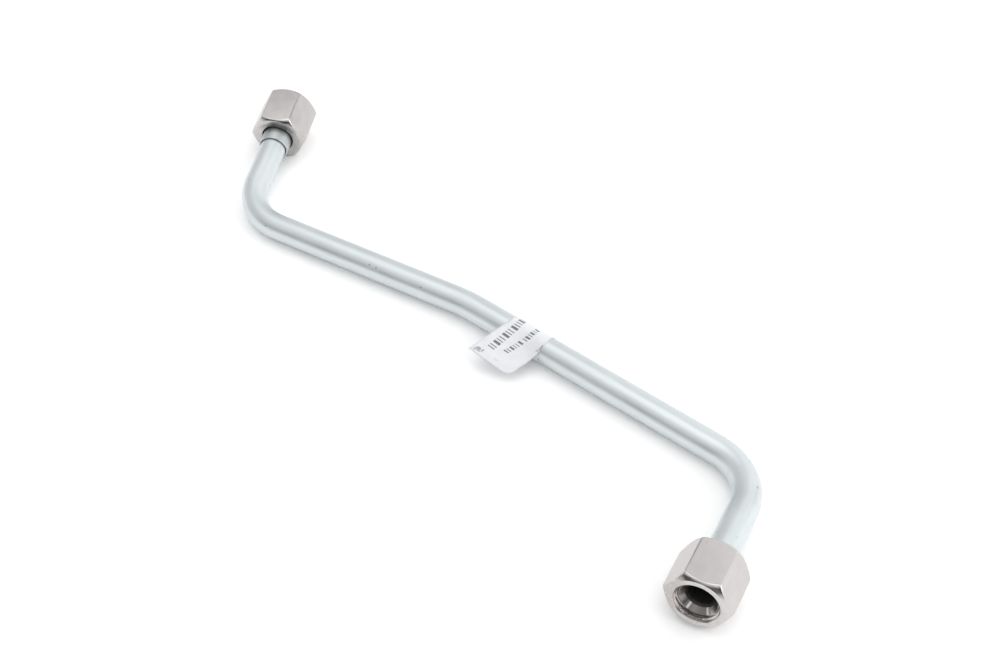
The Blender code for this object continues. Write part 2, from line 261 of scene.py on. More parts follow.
def arc_between(before, corner, after, radius, steps):
    """Points of the arc that rounds off a corner of a flat outline, from its start to its end."""
    a = (before - corner).normalized()
    b = (after - corner).normalized()
    half = a.angle(b) / 2
    back = radius / math.tan(half)
    longest = LONGEST_ARC_SIDE * min((before - corner).length, (after - corner).length)
    back = min(back, longest)
    radius = back * math.tan(half)
    centre = corner + (a + b).normalized() * radius / math.sin(half)
    start = corner + a * back - centre
    end = corner + b * back - centre
    turn = start.angle(end)
    points = []
    for step in range(steps + 1):
        share = step / steps
        near = math.sin((1 - share) * turn) / math.sin(turn)
        far = math.sin(share * turn) / math.sin(turn)
        points.append(centre + start * near + end * far)
    return points


def smooth(share):
    """A share from 0 to 1, eased at both ends."""
    return share * share * (3 - 2 * share)


def rounded(outline, steps=3):
    """An outline of (z, radius, rounding) points with its inner corners rounded off.

    Each point comes with the number of the corner it was made from."""
    flat = [Vector((z, r)) for z, r, _ in outline]
    made = [(flat[0], 0)]
    for index in range(1, len(flat) - 1):
        rounding = outline[index][2]
        if rounding:
            arc = arc_between(flat[index - 1], flat[index], flat[index + 1], rounding, steps)
            made += [(point, index) for point in arc]
        else:
            made.append((flat[index], index))
    return made + [(flat[-1], len(flat) - 1)]


class Skin:
    """Collects rings of points into one mesh, with a material for each band of faces."""

    def __init__(self, name):
        self.name = name
        self.bm = bmesh.new()
        self.laid = self.bm.verts.layers.float_vector.new("laid_out")

    def ring(self, points, laid_out):
        verts = []
        for point, laid in zip(points, laid_out):
            vert = self.bm.verts.new(point)
            vert[self.laid] = laid
            verts.append(vert)
        return verts

    def band(self, first, second, material, closed=True):
        count = len(first)
        for i in range(count if closed else count - 1):
            j = (i + 1) % count
            face = self.bm.faces.new((first[i], first[j], second[j], second[i]))
            face.material_index = material

    def finish(self, materials, sharp=None):
        bmesh.ops.remove_doubles(self.bm, verts=self.bm.verts, dist=WELD_DISTANCE)
        bmesh.ops.recalc_face_normals(self.bm, faces=self.bm.faces)
        mesh = bpy.data.meshes.new(self.name)
        self.bm.to_mesh(mesh)
        self.bm.free()
        for made in materials:
            mesh.materials.append(made)
        mesh.shade_smooth()
        if sharp:
            mesh.set_sharp_from_angle(angle=math.radians(sharp))
        obj = bpy.data.objects.new(self.name, mesh)
        bpy.context.scene.collection.objects.link(obj)
        return obj


def stations(points):
    """Stations along the tube: (centre, direction, distance, way out of the bend, share of the bend)."""
    made = []
    place = 0.0
    at = points[0]
    for index, radius in ((1, BEND_RADIUS), (2, SHALLOW_RADIUS), (3, BEND_RADIUS)):
        before, corner, after = points[index - 1 : index + 2]
        way_in = (corner - before).normalized()
        way_out = (after - corner).normalized()
        turn = way_in.angle(way_out)
        start = corner - way_in * radius * math.tan(turn / 2)
        axis = way_in.cross(way_out).normalized()
        centre = start + axis.cross(way_in) * radius
        straight = (start - at).length
        count = math.ceil(straight / STRAIGHT_STEP)
        for step in range(count):
            made.append((at.lerp(start, step / count), way_in, place + straight * step / count, None, 0.0))
        place += straight
        steps = math.ceil(turn / BEND_STEP)
        for step in range(steps + 1):
            spin = Matrix.Rotation(turn * step / steps, 3, axis)
            outward = spin @ (start - centre)
            share = math.sin(math.pi * step / steps) ** BEND_EASE * min(1.0, BEND_RADIUS / radius)
            along = place + turn * radius * step / steps
            made.append((centre + outward, spin @ way_in, along, outward.normalized(), share))
        place += turn * radius
        at = centre + Matrix.Rotation(turn, 3, axis) @ (start - centre)
    last = points[-1]
    way = (last - at).normalized()
    straight = (last - at).length
    count = math.ceil(straight / STRAIGHT_STEP)
    for step in range(1, count + 1):
        made.append((at.lerp(last, step / count), way, place + straight * step / count, None, 0.0))
    return made


# The corner of the flare's section at its rim, where the plated outside ends and the cone starts
RIM_CORNER = 4


def flare_outline():
    """The tube's end in section, as (distance back from the rim, radius), from outside to inside."""
    slope = math.tan(FLARE_ANGLE)
    base = LIP_WIDTH + (FLARE_RADIUS - TUBE_RADIUS) / slope
    rim = FLARE_RADIUS - LIP_ROUND
    throat = (rim - BORE_RADIUS) / slope
    return rounded(
        [
            (base + PLAIN_PART, TUBE_RADIUS, 0),
            (base, TUBE_RADIUS, FLARE_BACK_ROUND),
            (LIP_WIDTH, FLARE_RADIUS, LIP_BACK_ROUND),
            (0.0, FLARE_RADIUS, LIP_ROUND),
            (0.0, rim, SEAT_EDGE_ROUND),
            ((rim - SEAT_END) / slope, SEAT_END, 0),
            (throat, BORE_RADIUS, THROAT_ROUND),
            (throat + PLAIN_PART, BORE_RADIUS, 0),
        ],
        steps=5,
    )


def circle(centre, way, radius, sides=TUBE_SIDES):
    """Points round a direction, from the top, and the angle of each.

    The radius is a length, or a function of the way out."""
    side = way.cross(Vector((0, 0, 1))).normalized()
    up = side.cross(way)
    points, angles = [], []
    for step in range(sides):
        angle = math.tau * step / sides
        out = up * math.cos(angle) + side * math.sin(angle)
        reach = radius(out) if callable(radius) else radius
        points.append(centre + out * reach)
        angles.append(angle)
    return points, angles


def bent_radius(radius, outward, share):
    """A bent tube is a little flat on the outside of its bend, and bulges at its sides."""
    if outward is None or share == 0:
        return radius

    def reach(out):
        toward = out.dot(outward)
        flat = OUTER_FLATTENING if toward > 0 else INNER_FLATTENING
        return radius * (1 + share * (SIDE_BULGE * (1 - toward * toward) - flat * toward * toward))

    return reach


def laid_round(angle, radius, along):
    """Where a point of a round piece lies when it is laid out straight, for its material."""
    return Vector((math.cos(angle) * radius, math.sin(angle) * radius, along))


def make_tube(points, materials):
    skin = Skin("bent_tube")
    line = stations(points)
    total = line[-1][2]
    outline = flare_outline()
    clear = outline[0][0].x * END_CLEARANCE

    def rings(radius):
        made = []
        for centre, way, along, outward, share in line:
            if clear < along < total - clear:
                spots, angles = circle(centre, way, bent_radius(radius, outward, share))
                made.append(skin.ring(spots, [laid_round(angle, TUBE_RADIUS, along) for angle in angles]))
        return made

    def end_rings(rim, out, along_rim, sign):
        made = []
        for spot, _ in outline:
            way = -out if sign > 0 else out
            along = along_rim + sign * spot.x
            spots, angles = circle(rim - out * spot.x, way, spot.y)
            made.append(skin.ring(spots, [laid_round(angle, TUBE_RADIUS, along) for angle in angles]))
        return made

    far_out = (points[0] - points[1]).normalized()
    near_out = (points[-1] - points[-2]).normalized()
    far_end = end_rings(points[0], far_out, 0.0, 1)
    near_end = end_rings(points[-1], near_out, total, -1)
    outside = rings(TUBE_RADIUS)
    inside = rings(BORE_RADIUS)
    plated, flare, bore = 0, 1, 2
    kinds = []
    for (_, corner), _ in zip(outline, outline[1:]):
        kinds.append(plated if corner < RIM_CORNER else flare if corner == RIM_CORNER else bore)
    loop = outside + near_end + inside[::-1] + far_end[::-1]
    bands = [plated] * len(outside) + kinds + [bore] * (len(inside) + 1) + kinds[::-1] + [plated]
    for index in range(len(loop)):
        skin.band(loop[index], loop[(index + 1) % len(loop)], bands[index])
    return skin.finish(materials, sharp=TUBE_CREASE)


def hexagon_columns():
    """The angle and the reach of each column round the nut, with its six corners rounded off."""
    half = math.pi / 6
    hub = (APOTHEM - CORNER_ROUND) / math.cos(half)
    flat_end = math.atan2(hub * math.sin(half), APOTHEM)
    columns = []
    for side in range(6):
        middle = math.radians(30 + 60 * side)
        edge = APOTHEM * math.tan(flat_end)
        for step in range(FLAT_COLUMNS + 1):
            offset = -edge + 2 * edge * step / FLAT_COLUMNS
            columns.append((middle + math.atan2(offset, APOTHEM), math.hypot(offset, APOTHEM)))
        for step in range(1, CORNER_COLUMNS):
            turn = (step / CORNER_COLUMNS - 0.5) * 2 * half
            x = hub + CORNER_ROUND * math.cos(turn)
            y = CORNER_ROUND * math.sin(turn)
            columns.append((middle + half + math.atan2(y, x), math.hypot(x, y)))
    return columns


# Corners of the nut's section: its flats run between two, and its shoulder and rear bore start at two
FLAT_CORNERS = (3, 4)
SHOULDER_CORNER = 8
REAR_CORNER = 7


def nut_outline(reach):
    """The nut's section at one column, from inside its mouth, over the outside, to the thread's inner end."""
    fall = (reach - FACE_RADIUS) * math.tan(CHAMFER_ANGLE)
    rear_fall = (reach - REAR_FACE_RADIUS) * math.tan(CHAMFER_ANGLE)
    soft = EDGE_ROUND + (reach - APOTHEM) * CORNER_WEAR
    shoulder_end = THREAD_END + MINOR_RADIUS - REAR_BORE
    return rounded(
        [
            (-MOUTH_BEVEL, MOUTH_RADIUS - MOUTH_BEVEL, 0),
            (0.0, MOUTH_RADIUS, TURNED_ROUND),
            (0.0, FACE_RADIUS, FACE_ROUND),
            (-fall, reach, soft),
            (-NUT_LENGTH + rear_fall, reach, soft),
            (-NUT_LENGTH, REAR_FACE_RADIUS, FACE_ROUND),
            (-NUT_LENGTH, REAR_BORE + REAR_CHAMFER, TURNED_ROUND),
            (-NUT_LENGTH + REAR_CHAMFER, REAR_BORE, TURNED_ROUND),
            (-shoulder_end, REAR_BORE, TURNED_ROUND),
            (-THREAD_END, MINOR_RADIUS, 0),
        ],
        steps=4,
    )


# Places in one turn of the thread where it has a row of points, as shares of the pitch
THREAD_ROWS = (0.0, 0.05, 0.2, 0.25, 0.31, 0.4, 0.5, 0.56, 0.6, 0.65, 0.69, 0.75, 0.85, 0.94)
CREST_SHARE = 0.25
FLANK_SHARE = 0.29
FLANK_SOFTNESS = 0.35


def thread_radius(turns, depth):
    """The radius of the threaded wall at this many turns along the helix and this depth from the mouth."""
    phase = turns % 1.0
    if phase < CREST_SHARE:
        height = 0.0
    elif phase < CREST_SHARE + FLANK_SHARE:
        height = (phase - CREST_SHARE) / FLANK_SHARE
    elif phase < 1 - FLANK_SHARE:
        height = 1.0
    else:
        height = (1 - phase) / FLANK_SHARE
    height = smooth(height) * FLANK_SOFTNESS + height * (1 - FLANK_SOFTNESS)
    fade = min(1.0, max(0.0, (THREAD_END - THREAD_RELIEF - depth) / THREAD_FADE))
    cut = MINOR_RADIUS + (MAJOR_RADIUS - MINOR_RADIUS) * height * fade
    return max(cut, MOUTH_RADIUS - depth)


def make_nut(name, face, out, materials):
    """A nut on a leg. face is the middle of its mouth, and out is the way that its mouth faces."""
    skin = Skin(name)
    side = out.cross(Vector((0, 0, 1))).normalized()
    up = side.cross(out)
    columns = hexagon_columns()

    def place(angle, radius, z):
        return face + (side * math.cos(angle) + up * math.sin(angle)) * radius + out * z

    outlines = [nut_outline(reach) for _, reach in columns]
    rows = []
    for index in range(len(outlines[0])):
        spots, laid = [], []
        for (angle, _), line in zip(columns, outlines):
            z, radius = line[index][0]
            spots.append(place(angle, radius, z))
            laid.append(laid_round(angle, radius, z))
        rows.append(skin.ring(spots, laid))
    flats, turned, thread, rear = 0, 1, 2, 3
    corners = [corner for _, corner in outlines[0]]
    for index in range(len(rows) - 1):
        kind = turned
        if (corners[index], corners[index + 1]) == FLAT_CORNERS:
            kind = flats
        if corners[index] >= SHOULDER_CORNER:
            kind = thread
        elif corners[index] >= REAR_CORNER:
            kind = rear
        skin.band(rows[index], rows[index + 1], kind)

    low, high = -THREAD_END, -MOUTH_BEVEL
    count = len(THREAD_ROWS)
    turns_needed = math.ceil((high - low) / PITCH) + 1
    grid = []
    for row in range(-count, turns_needed * count + 1):
        turn, step = divmod(row, count)
        spots, laid = [], []
        for angle, _ in columns:
            z = low + (turn + THREAD_ROWS[step] + angle / math.tau - 1) * PITCH
            z = min(max(z, low), high)
            winding = (z - low) / PITCH - angle / math.tau + 1
            radius = thread_radius(winding, -z)
            spots.append(place(angle, radius, z))
            laid.append(laid_round(angle, radius, z))
        grid.append(skin.ring(spots, laid))
    last = len(columns) - 1
    for row in range(len(grid) - 1):
        skin.band(grid[row], grid[row + 1], thread, closed=False)
        if row + count + 1 < len(grid):
            seam = (grid[row][last], grid[row + count][0], grid[row + count + 1][0], grid[row + 1][last])
            skin.bm.faces.new(seam).material_index = thread
    return skin.finish(materials, sharp=TURNED_CREASE)


def make_sleeve(name, rim, out, materials):
    skin = Skin(name)
    mouth = HEAD_RADIUS - HEAD_LAND
    cone = (mouth - SLEEVE_BORE) / math.tan(FLARE_ANGLE)
    outline = rounded(
        [
            (SLEEVE_FRONT, mouth, 0),
            (SLEEVE_FRONT, HEAD_RADIUS, HEAD_ROUND),
            (SLEEVE_SHOULDER, HEAD_RADIUS, SHOULDER_ROUND),
            (SLEEVE_SHOULDER + HEAD_RADIUS - TAIL_RADIUS, TAIL_RADIUS, NECK_ROUND),
            (SLEEVE_TAIL, TAIL_RADIUS, TAIL_ROUND),
            (SLEEVE_TAIL, SLEEVE_BORE, TAIL_BORE_ROUND),
            (SLEEVE_FRONT + cone, SLEEVE_BORE, CONE_ROUND),
            (SLEEVE_FRONT + CONE_INSET[0], mouth - CONE_INSET[1], 0),
        ],
        steps=4,
    )
    rows = []
    for spot, _ in outline:
        spots, angles = circle(rim - out * spot.x, -out, spot.y, LATHE_SIDES)
        rows.append(skin.ring(spots, [laid_round(angle, spot.y, spot.x) for angle in angles]))
    for index in range(len(rows)):
        skin.band(rows[index], rows[(index + 1) % len(rows)], 0)
    return skin.finish(materials, sharp=TURNED_CREASE)


def between(left, right, share):
    return left + (right - left) * share


def label_column(share):
    """The strip's middle line at this share of its width, from the flag's tip over the tube and round it.

    Each point is (along the tube, side, height), with its distance along the strip from the tube's edge."""
    radius = LABEL_MIDDLE
    peel = between(LEFT_PEEL, RIGHT_PEEL, share)
    fall = between(LEFT_FALL, RIGHT_FALL, share)
    skew = between(LEFT_SKEW, RIGHT_SKEW, share)
    along = LABEL_WIDTH * share
    length = between(LEFT_FLAG, RIGHT_FLAG, share)
    into_corner = min(FLAG_CORNER, max(0.0, along + FLAG_CORNER - LABEL_WIDTH))
    length -= FLAG_CORNER - math.sqrt(FLAG_CORNER**2 - into_corner**2)
    side, height = -math.sin(peel) * radius, math.cos(peel) * radius
    flag = []
    steps = FLAG_ROWS * FLAG_SUBSTEPS
    for step in range(1, steps + 1):
        reach = length * (step - 0.5) / steps
        relaxed = min(1.0, max(0.0, (reach - RELAX_START) / (RELAX_END - RELAX_START)))
        slope = between(peel, fall, smooth(relaxed))
        side -= math.cos(slope) * length / steps
        height -= math.sin(slope) * length / steps
        if step % FLAG_SUBSTEPS == 0:
            out = length * step / steps
            flag.append((Vector((along - skew * out, side, height)), -out - peel * radius))
    wrap = []
    sweep = math.tau - WRAP_END + peel
    for step in range(WRAP_ROWS + 1):
        turn = -peel + sweep * step / WRAP_ROWS
        spot = Vector((along, math.sin(turn) * radius, math.cos(turn) * radius))
        wrap.append((spot, turn * radius))
    return flag[::-1] + wrap


def make_label(shallow, near_corner, materials):
    """The strip, with its print laid out as (across its width, along its length, 0)."""
    skin = Skin("paper_label")
    way = (near_corner - shallow).normalized()
    side = Vector((0, 0, 1)).cross(way)
    columns = []
    for index in range(LABEL_COLUMNS + 1):
        share = math.sin(math.pi / 2 * index / LABEL_COLUMNS)
        line = label_column(share)
        spots = [shallow + way * (LABEL_PLACE + p.x) + side * p.y + Vector((0, 0, p.z)) for p, _ in line]
        columns.append(skin.ring(spots, [Vector((LABEL_WIDTH * share, length, 0)) for _, length in line]))
    for left, right in zip(columns, columns[1:]):
        skin.band(left, right, 0, closed=False)
    label = skin.finish(materials)
    thickness = label.modifiers.new("Thickness", "SOLIDIFY")
    thickness.thickness = LABEL_THICK
    thickness.offset = 0.0
    return label


# The part of a noise's range that most of a surface falls in
NOISE_MIDDLE = (0.3, 0.7)


class Nodes:
    """Adds nodes to one tree. A number, colour or vector is given plainly or as another node's output."""

    def __init__(self, tree):
        self.tree = tree

    def feed(self, socket, value):
        if isinstance(value, bpy.types.NodeSocket):
            self.tree.links.new(value, socket)
        else:
            socket.default_value = value

    def add(self, kind, **settings):
        made = self.tree.nodes.new(kind)
        for key, value in settings.items():
            setattr(made, key, value)
        return made

    def math(self, operation, first, second=0.0, third=0.0):
        made = self.add("ShaderNodeMath", operation=operation)
        for socket, value in zip(made.inputs, (first, second, third)):
            self.feed(socket, value)
        return made.outputs[0]

    def plus(self, first, second):
        return self.math("ADD", first, second)

    def minus(self, first, second):
        return self.math("SUBTRACT", first, second)

    def times(self, first, second):
        return self.math("MULTIPLY", first, second)

    def vector(self, operation, first, second=(0.0, 0.0, 0.0)):
        made = self.add("ShaderNodeVectorMath", operation=operation)
        self.feed(made.inputs[0], first)
        self.feed(made.inputs[1], second)
        return made.outputs["Value" if operation in ("LENGTH", "DISTANCE", "DOT_PRODUCT") else "Vector"]

    def parts(self, vector):
        made = self.add("ShaderNodeSeparateXYZ")
        self.feed(made.inputs[0], vector)
        return made.outputs

    def place(self, stretch=(1.0, 1.0, 1.0), shift=(0.0, 0.0, 0.0)):
        """The laid out position of the surface, moved and stretched."""
        laid = self.add("ShaderNodeAttribute", attribute_type="GEOMETRY", attribute_name="laid_out")
        place = laid.outputs["Vector"]
        if any(shift):
            place = self.vector("SUBTRACT", place, shift)
        if stretch != (1.0, 1.0, 1.0):
            place = self.vector("MULTIPLY", place, stretch)
        return place

    def radius(self):
        """How far the surface is from its piece's axis, as it is laid out."""
        return self.vector("LENGTH", self.place((1.0, 1.0, 0.0)))

    def noise(self, vector, scale, detail=2.0, roughness=0.5):
        made = self.add("ShaderNodeTexNoise")
        self.feed(made.inputs["Vector"], vector)
        made.inputs["Scale"].default_value = scale
        made.inputs["Detail"].default_value = detail
        made.inputs["Roughness"].default_value = roughness
        return made.outputs["Fac"]

    def fade(self, value, low, high, first=0.0, last=1.0):
        """A smooth change from first, where the value is low, to last, where it is high."""
        made = self.add("ShaderNodeMapRange", interpolation_type="SMOOTHSTEP")
        for socket, given in zip(made.inputs, (value, low, high, first, last)):
            self.feed(socket, given)
        return made.outputs[0]

    def spots(self, vector, scale, edge, chosen):
        """1 on some of many scattered spots. edge is where a spot fades, and chosen picks which ones show."""
        made = self.add("ShaderNodeTexVoronoi")
        self.feed(made.inputs["Vector"], vector)
        made.inputs["Scale"].default_value = scale
        spot = self.fade(made.outputs["Distance"], *edge, 1.0, 0.0)
        return self.times(spot, self.fade(self.parts(made.outputs["Color"])[0], *chosen))

    def uneven(self, value, noise, reach):
        """A length made larger and smaller by a noise, over a reach in all."""
        return self.plus(value, self.times(self.minus(noise, 0.5), reach))

    def mottled(self, noise, first=0.0, last=1.0):
        """A smooth change from first to last over the middle of a noise's range."""
        return self.fade(noise, *NOISE_MIDDLE, first, last)

    def blend(self, share, first, second):
        made = self.add("ShaderNodeMix", data_type="RGBA")
        self.feed(made.inputs[0], share)
        for socket, value in ((made.inputs[6], first), (made.inputs[7], second)):
            self.feed(socket, value if isinstance(value, bpy.types.NodeSocket) else (*value, 1.0))
        return made.outputs[2]

    def bump(self, height, distance, strength=1.0):
        made = self.add("ShaderNodeBump")
        made.inputs["Strength"].default_value = strength
        made.inputs["Distance"].default_value = distance
        self.feed(made.inputs["Height"], height)
        return made.outputs["Normal"]

    def bars(self, value, edges):
        """1 inside each bar and 0 between them. edges are the bars' ends, from 0 to 1, in order."""
        made = self.add("ShaderNodeValToRGB")
        self.feed(made.inputs[0], value)
        ramp = made.color_ramp
        ramp.interpolation = "CONSTANT"
        ramp.elements[0].position = 0.0
        ramp.elements[0].color = (0, 0, 0, 1)
        ramp.elements.remove(ramp.elements[1])
        for index, edge in enumerate(edges):
            tone = (index + 1) % 2
            ramp.elements.new(edge).color = (tone, tone, tone, 1)
        return made.outputs[0]


def finish_material(name, metallic):
    """A new material's Principled shader and the helper that adds nodes to it."""
    made = bpy.data.materials.new(name)
    made.use_nodes = True
    shader = made.node_tree.nodes["Principled BSDF"]
    shader.inputs["Metallic"].default_value = metallic
    return made, shader.inputs, Nodes(made.node_tree)


def zinc_material():
    """Zinc plating on drawn tube: a cloudy bluish white, with draw lines, grain, pits and a few nicks."""
    made, inputs, n = finish_material("zinc_plate", 1.0)
    grain = n.noise(n.place(), 4200, 2.0)
    lines = n.noise(n.place((1.0, 1.0, 0.025)), 2200, 3.0, 0.6)
    clouds = n.noise(n.place((1.0, 1.0, 0.4)), 190, 4.0, 0.6)
    colour = n.blend(n.mottled(clouds), (0.665, 0.71, 0.722), (0.71, 0.755, 0.768))
    colour = n.blend(n.fade(lines, 0.35, 0.75, 0.0, 0.2), colour, (0.58, 0.62, 0.63))
    stains = n.noise(n.place((1.0, 1.0, 0.5), (0.0, 0.0, 0.04)), 75, 3.0, 0.6)
    colour = n.blend(n.fade(stains, 0.6, 0.74, 0.0, 0.3), colour, (0.55, 0.585, 0.585))
    pits = n.spots(n.place((1.0, 1.0, 0.7)), 260, (0.05, 0.11), (0.8, 0.9))
    marks = n.times(pits, 0.55)
    ragged = n.fade(grain, 0.2, 0.8, 0.55, 1.4)
    for angle, along, width, length, depth in NICKS:
        spot = laid_round(angle, TUBE_RADIUS, along)
        away = n.vector("LENGTH", n.place((1 / width, 1 / width, 1 / length), spot))
        nick = n.fade(n.times(away, ragged), 0.6, 1.15, depth, 0.0)
        marks = n.math("MAXIMUM", marks, nick)
    colour = n.blend(marks, colour, (0.2, 0.19, 0.17))
    n.feed(inputs["Base Color"], colour)
    rough = n.plus(n.mottled(clouds, 0.41, 0.47), n.mottled(lines, -0.03, 0.04))
    n.feed(inputs["Roughness"], n.plus(rough, n.times(marks, 0.2)))
    height = n.plus(n.times(grain, 0.45), n.times(lines, 0.8))
    height = n.minus(height, n.times(marks, 6.0))
    n.feed(inputs["Normal"], n.bump(height, 0.005 * MM))
    return made


# Angles round the flare where its seat has a painted highlight line, that line's edge, and the edge of its
# lower part, which is painted darker as shade
FLARE_GLINTS = (math.radians(152), math.radians(-144))
GLINT_EDGE = (0.12 * MM, 0.45 * MM)
SHADED_LOW_PART = (-4.5 * MM, -3.4 * MM)


def flare_material():
    """The flare's seat: bare rolled metal, with marks that run out from its throat, two painted highlight
    lines and painted shade on its lower part.
    """
    made, inputs, n = finish_material("flare_seat", 1.0)
    rays = n.noise(n.place((1.0, 1.0, 0.0)), 420, 3.0, 0.5)
    low = n.fade(n.parts(n.place())[0], *SHADED_LOW_PART, 1.0, 0.0)
    fine = n.noise(n.place((1.0, 1.0, 0.1)), 3500, 2.0)
    rings = n.noise(n.place((0.0, 0.0, 1.0)), 9000, 2.0)
    colour = n.blend(n.fade(rays, 0.35, 0.65), (0.27, 0.255, 0.25), (0.46, 0.44, 0.43))
    # Painted shade: the seat is darker on its lower part
    colour = n.blend(n.times(low, 0.75), colour, (0.15, 0.138, 0.138))
    # Painted highlights: two bright lines across the seat
    for glint in FLARE_GLINTS:
        away = n.vector("DISTANCE", n.place((1.0, 1.0, 0.0)), laid_round(glint, TUBE_RADIUS, 0.0))
        line = n.fade(n.uneven(away, fine, 0.3 * MM), *GLINT_EDGE, 1.0, 0.0)
        colour = n.blend(line, colour, (0.78, 0.77, 0.765))
    n.feed(inputs["Base Color"], colour)
    n.feed(inputs["Roughness"], n.mottled(fine, 0.22, 0.36))
    height = n.plus(n.times(rays, 2.0), n.times(rings, 0.4))
    n.feed(inputs["Normal"], n.bump(n.plus(height, fine), 0.008 * MM))
    return made


def bore_material():
    """The tube's inside: painted dark as the shade inside the tube, dull and a little uneven."""
    made, inputs, n = finish_material("tube_bore", 0.6)
    drawn = n.noise(n.place((1.0, 1.0, 0.05)), 1600, 3.0)
    # Painted shade: a very dark colour for the inside of the tube
    colour = n.blend(n.mottled(drawn), (0.035, 0.034, 0.034), (0.07, 0.067, 0.065))
    n.feed(inputs["Base Color"], colour)
    n.feed(inputs["Roughness"], n.mottled(drawn, 0.45, 0.65))
    n.feed(inputs["Normal"], n.bump(drawn, 0.01 * MM))
    return made


# The way, across the nut, to its one corner that is scored dark, and how far out the scoring starts
SCORED_CORNER = (0.5, 0.866, 0.0)
SCORED_REACH = (10.2 * MM, 10.5 * MM)

# Where wear and painted highlights fade: across a corner of the nut, along it from the chamfer for the
# painted highlight, and on a flat beside the chamfer for the worn rim and its painted sheen
CORNER_LINE = (0.12 * MM, 0.4 * MM)
HIGHLIGHT_LENGTH = (2.0 * MM, 5.0 * MM)
WORN_RIM_AND_SHEEN = (0.1 * MM, 0.7 * MM)


def corner_distance(n):
    """How far round the nut a point is from the nearest of its six corners, in metres."""
    x, y, _ = n.parts(n.place())
    angle = n.math("ARCTAN2", y, x)
    folded = n.math("PINGPONG", n.plus(angle, math.tau), math.pi / 6)
    return n.times(folded, APOTHEM / math.cos(math.pi / 6))


def edge_distance(n):
    """How far along a flat a point is from the nut's nearer chamfer, in metres."""
    _, _, z = n.parts(n.place())
    fall = n.times(n.minus(n.radius(), FACE_RADIUS), math.tan(CHAMFER_ANGLE))
    front = n.minus(n.times(z, -1.0), fall)
    rear = n.minus(n.plus(z, NUT_LENGTH), fall)
    return n.math("MINIMUM", front, rear)


def add_marks(n, colour, ragged):
    """Darkens a nut's colour at its marks, whose outline follows a ragged factor."""
    for spot, size, depth in NUT_MARKS:
        away = n.vector("DISTANCE", n.place(), spot)
        soft = n.fade(n.times(away, ragged), 0.4 * size, size, depth, 0.0)
        colour = n.blend(soft, colour, MARK_COLOUR)
    return colour


def flats_material():
    """The nut's flats: pinkish grey plating on drawn bar, with specks, worn along its edges, with painted
    highlights on the corners near the chamfers and a painted sheen on the worn rim.
    """
    made, inputs, n = finish_material("nickel_flats", 1.0)
    grain = n.noise(n.place(), 3800, 2.0)
    lines = n.noise(n.place((1.0, 1.0, 0.03)), 2400, 3.0, 0.6)
    clouds = n.noise(n.place(), 260, 3.0, 0.6)
    colour = n.blend(n.mottled(clouds), (0.558, 0.536, 0.531), (0.588, 0.567, 0.561))
    colour = n.blend(n.fade(lines, 0.4, 0.75, 0.0, 0.2), colour, (0.475, 0.447, 0.437))
    specks = n.spots(n.place(), 380, (0.06, 0.13), (0.84, 0.92))
    colour = n.blend(n.times(specks, 0.5), colour, (0.25, 0.22, 0.2))
    colour = add_marks(n, colour, n.fade(grain, 0.2, 0.8, 0.6, 1.4))
    edge = edge_distance(n)
    patches = n.noise(n.place((1.0, 1.0, 0.35)), 520, 3.0, 0.6)
    line = n.fade(corner_distance(n), *CORNER_LINE, 1.0, 0.0)
    scored = n.fade(n.vector("DOT_PRODUCT", n.place(), SCORED_CORNER), *SCORED_REACH)
    scored = n.times(line, scored)
    worn = n.times(scored, n.fade(patches, 0.36, 0.56, 0.25, 1.0))
    # Painted highlight: the corners that are not scored are lightened near the chamfers
    corner_highlight = n.times(n.minus(line, scored), n.fade(patches, 0.4, 0.6))
    corner_highlight = n.times(corner_highlight, n.fade(edge, *HIGHLIGHT_LENGTH, 1.0, 0.0))
    # Worn rim beside the chamfer: real wear, rougher and dented, with a painted lighter sheen
    rim = n.times(n.fade(edge, *WORN_RIM_AND_SHEEN, 1.0, 0.0), n.fade(patches, 0.38, 0.62))
    colour = n.blend(n.times(worn, 0.75), colour, (0.27, 0.25, 0.24))
    colour = n.blend(n.times(corner_highlight, 0.3), colour, (0.78, 0.76, 0.75))
    colour = n.blend(n.times(rim, 0.45), colour, (0.62, 0.6, 0.595))
    n.feed(inputs["Base Color"], colour)
    rough = n.plus(n.mottled(clouds, 0.3, 0.37), n.mottled(lines, -0.02, 0.03))
    n.feed(inputs["Roughness"], n.plus(rough, n.times(rim, 0.1)))
    height = n.plus(n.times(grain, 0.35), n.times(lines, 0.7))
    dents = n.plus(n.times(specks, 4.0), n.times(rim, 3.0))
    n.feed(inputs["Normal"], n.bump(n.minus(height, dents), 0.004 * MM))
    return made


# Where marks on the turned faces fade: the darker mottling sideways, and the painted dark reflection on the
# rear face upwards, inwards and outwards
MOTTLED_SIDE = (2.5 * MM, 7.0 * MM)
REFLECTION_HEIGHT = (3.2 * MM, 6.2 * MM)
REFLECTION_DEPTH = (-17.5 * MM, -17.2 * MM)
REFLECTION_RADIUS = (7.3 * MM, 8.3 * MM)


